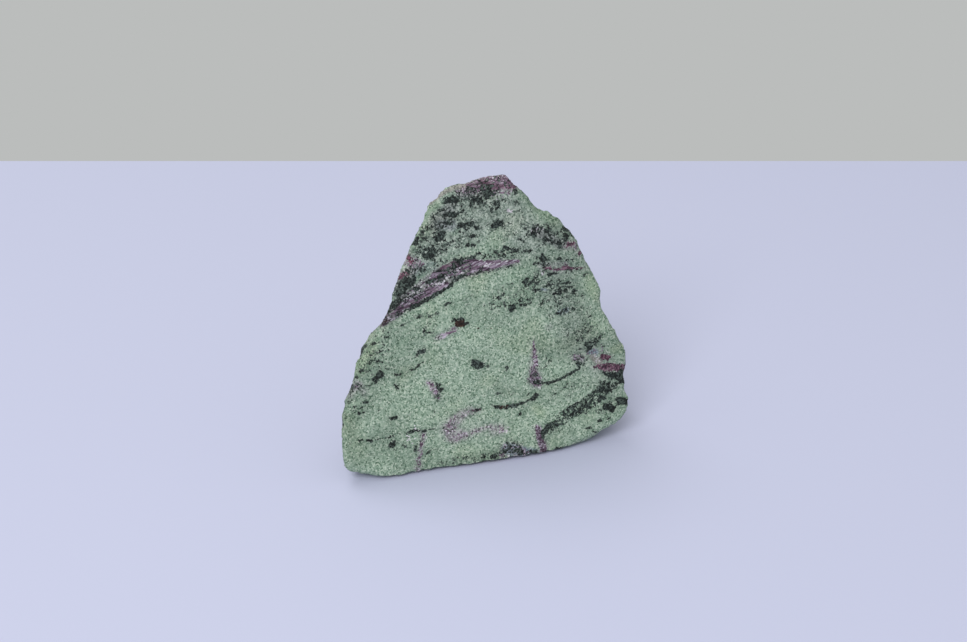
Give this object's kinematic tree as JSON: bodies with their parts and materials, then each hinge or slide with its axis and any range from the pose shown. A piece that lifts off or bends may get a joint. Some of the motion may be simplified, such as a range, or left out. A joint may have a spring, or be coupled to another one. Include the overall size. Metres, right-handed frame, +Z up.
{
  "type": "ruby in zoisite mineral specimen",
  "caption": "Broken slab of green zoisite rock with ruby and black hornblende streaks, standing on its lower edge with a nearly flat leaning front face.",
  "frame": {"origin": "on the ground under the middle of the stone's bounding box", "axes": "+Z up, +X along the longest extent to the right of the broad front face, which looks along -Y, +Y the shortest extent"},
  "size_m": [0.0828, 0.0312, 0.0774],
  "materials": {
    "rock": "dull granular broken rock, green with purple-red and black grains"
  },
  "bodies": {
    "root": {"stone": "rock"}
  },
  "joints": []
}
